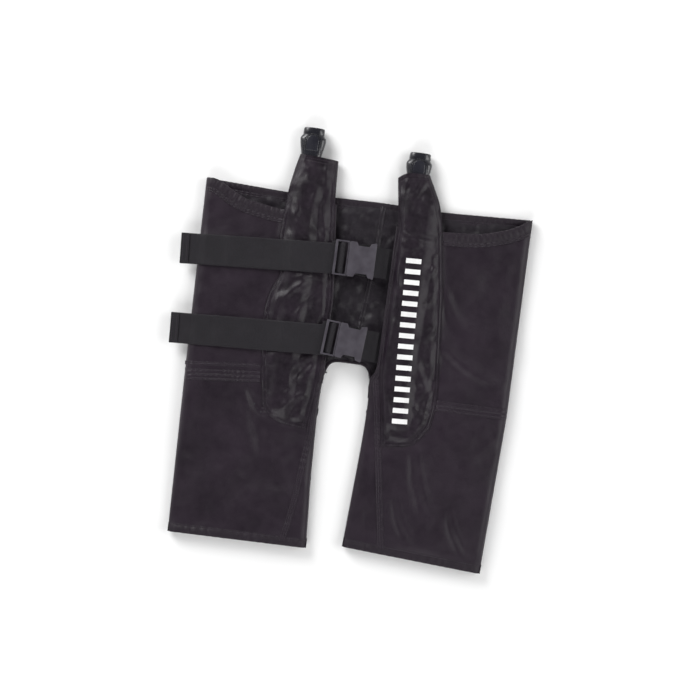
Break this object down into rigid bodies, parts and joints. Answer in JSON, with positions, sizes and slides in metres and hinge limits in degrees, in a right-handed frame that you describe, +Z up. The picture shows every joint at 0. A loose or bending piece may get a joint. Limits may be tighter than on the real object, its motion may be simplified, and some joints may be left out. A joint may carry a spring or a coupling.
{
  "type": "air compression hip garment",
  "caption": "Flat-laid air-compression garment for hips and upper thighs, with buckled front straps and hose connectors in fabric sleeves.",
  "frame": {"origin": "middle of the garment's bounding box, on the surface that it lies on; left and right are those of a person looking down on its front", "axes": "+Z up out of the front, +Y from the leg hems towards the waist and the hose connectors, +X to the right seen from above"},
  "size_m": [0.565, 0.686, 0.0395],
  "materials": {
    "shell_nylon": "satin coated nylon",
    "chamber_film": "satin",
    "lining_nylon": "satin",
    "trim_tape": "matte",
    "pocket_nylon": "satin coated nylon",
    "air_tube": "gloss",
    "fitting_plastic": "satin",
    "connector_plastic": "gloss",
    "pad_plastic": "gloss",
    "webbing": "matte woven",
    "buckle_plastic": "satin",
    "prong_plastic": "satin"
  },
  "bodies": {
    "garment": {"back_hip_left": "shell_nylon", "back_hip_right": "shell_nylon", "back_thigh_left": "shell_nylon", "back_thigh_right": "shell_nylon", "front_hip_left": "shell_nylon", "front_hip_right": "shell_nylon", "front_thigh_left": "shell_nylon", "front_thigh_right": "shell_nylon", "hip_bladder_left": "chamber_film", "hip_bladder_right": "chamber_film", "thigh_bladder_left": "chamber_film", "thigh_bladder_right": "chamber_film", "lining_left": "lining_nylon", "lining_right": "lining_nylon", "waist_hem_back": "trim_tape", "waist_hem_left": "trim_tape", "waist_hem_right": "trim_tape", "leg_hem_left": "trim_tape", "leg_hem_right": "trim_tape", "thigh_seam_left": "trim_tape", "thigh_seam_right": "trim_tape", "inseam_left": "trim_tape", "inseam_right": "trim_tape", "hose_pocket_left": "pocket_nylon", "hose_pocket_right": "pocket_nylon", "air_tubes_left": "air_tube", "air_tubes_right": "air_tube", "air_ports_left": "fitting_plastic", "air_ports_right": "fitting_plastic", "strap_run_upper": "webbing", "strap_run_lower": "webbing", "strap_anchor_upper": "webbing", "strap_anchor_lower": "webbing", "buckle_socket_upper": "buckle_plastic", "buckle_socket_lower": "buckle_plastic"},
    "plug_upper": {"buckle_plug_upper": "buckle_plastic", "strap_loop_upper": "webbing"},
    "plug_lower": {"buckle_plug_lower": "buckle_plastic", "strap_loop_lower": "webbing"},
    "tail_upper": {"strap_tail_upper": "webbing"},
    "tail_lower": {"strap_tail_lower": "webbing"},
    "neck_left": {"sleeve_left": "pocket_nylon", "neck_tubes_left": "air_tube", "connector_left": "connector_plastic", "manifold_left": "fitting_plastic"},
    "neck_right": {"sleeve_right": "pocket_nylon", "neck_tubes_right": "air_tube", "connector_right": "connector_plastic", "manifold_right": "fitting_plastic"},
    "waist_prong_upper_body": {"waist_prong_upper": "prong_plastic"},
    "hem_prong_upper_body": {"hem_prong_upper": "prong_plastic"},
    "waist_prong_lower_body": {"waist_prong_lower": "prong_plastic"},
    "hem_prong_lower_body": {"hem_prong_lower": "prong_plastic"},
    "front_pad_left_body": {"front_pad_left": "pad_plastic"},
    "back_pad_left_body": {"back_pad_left": "pad_plastic"},
    "front_pad_right_body": {"front_pad_right": "pad_plastic"},
    "back_pad_right_body": {"back_pad_right": "pad_plastic"}
  },
  "joints": [
    {"name": "upper_buckle_release", "type": "slide", "parent": "garment", "child": "plug_upper", "axis": [-1, 0, 0], "range_m": [0, 0.036]},
    {"name": "lower_buckle_release", "type": "slide", "parent": "garment", "child": "plug_lower", "axis": [-0.9968, 0.0802, 0], "range_m": [0, 0.036]},
    {"name": "upper_waist_prong_flex", "type": "hinge", "parent": "plug_upper", "child": "waist_prong_upper_body", "pos_m": [-0.0045, 0.1575, 0.0341], "axis": [0, 0, -1], "range_deg": [0, 14.5]},
    {"name": "upper_hem_prong_flex", "type": "hinge", "parent": "plug_upper", "child": "hem_prong_upper_body", "pos_m": [-0.0045, 0.1185, 0.0341], "axis": [0, 0, 1], "range_deg": [0, 14.5]},
    {"name": "lower_waist_prong_flex", "type": "hinge", "parent": "plug_lower", "child": "waist_prong_lower_body", "pos_m": [-0.00288, 0.02488, 0.0341], "axis": [0, 0, -1], "range_deg": [0, 14.5]},
    {"name": "lower_hem_prong_flex", "type": "hinge", "parent": "plug_lower", "child": "hem_prong_lower_body", "pos_m": [-0.00601, -0.01399, 0.0341], "axis": [0, 0, 1], "range_deg": [0, 14.5]},
    {"name": "upper_strap_pull", "type": "slide", "parent": "plug_upper", "child": "tail_upper", "axis": [-0.9982, -0.0593, 0], "range_m": [0, 0.05]},
    {"name": "lower_strap_pull", "type": "slide", "parent": "plug_lower", "child": "tail_lower", "axis": [-0.9989, -0.0471, 0], "range_m": [0, 0.05]},
    {"name": "left_sleeve_fold", "type": "hinge", "parent": "garment", "child": "neck_left", "pos_m": [-0.0905, 0.241, 0.0282], "axis": [1, 0, 0], "range_deg": [0, 90]},
    {"name": "left_front_pad_press", "type": "slide", "parent": "neck_left", "child": "front_pad_left_body", "axis": [0, 0, -1], "range_m": [0, 0.0018], "stiffness_N_per_m": 900},
    {"name": "left_back_pad_press", "type": "slide", "parent": "neck_left", "child": "back_pad_left_body", "axis": [0, 0, 1], "range_m": [0, 0.0018], "stiffness_N_per_m": 900},
    {"name": "right_sleeve_fold", "type": "hinge", "parent": "garment", "child": "neck_right", "pos_m": [0.0865, 0.241, 0.0282], "axis": [1, 0, 0], "range_deg": [0, 90]},
    {"name": "right_front_pad_press", "type": "slide", "parent": "neck_right", "child": "front_pad_right_body", "axis": [0, 0, -1], "range_m": [0, 0.0018], "stiffness_N_per_m": 900},
    {"name": "right_back_pad_press", "type": "slide", "parent": "neck_right", "child": "back_pad_right_body", "axis": [0, 0, 1], "range_m": [0, 0.0018], "stiffness_N_per_m": 900}
  ],
  "couplings": [
    {"joint": "upper_waist_prong_flex", "follows": "upper_buckle_release", "rad_per_m": 7},
    {"joint": "upper_hem_prong_flex", "follows": "upper_buckle_release", "rad_per_m": 7},
    {"joint": "lower_waist_prong_flex", "follows": "lower_buckle_release", "rad_per_m": 7},
    {"joint": "lower_hem_prong_flex", "follows": "lower_buckle_release", "rad_per_m": 7}
  ]
}
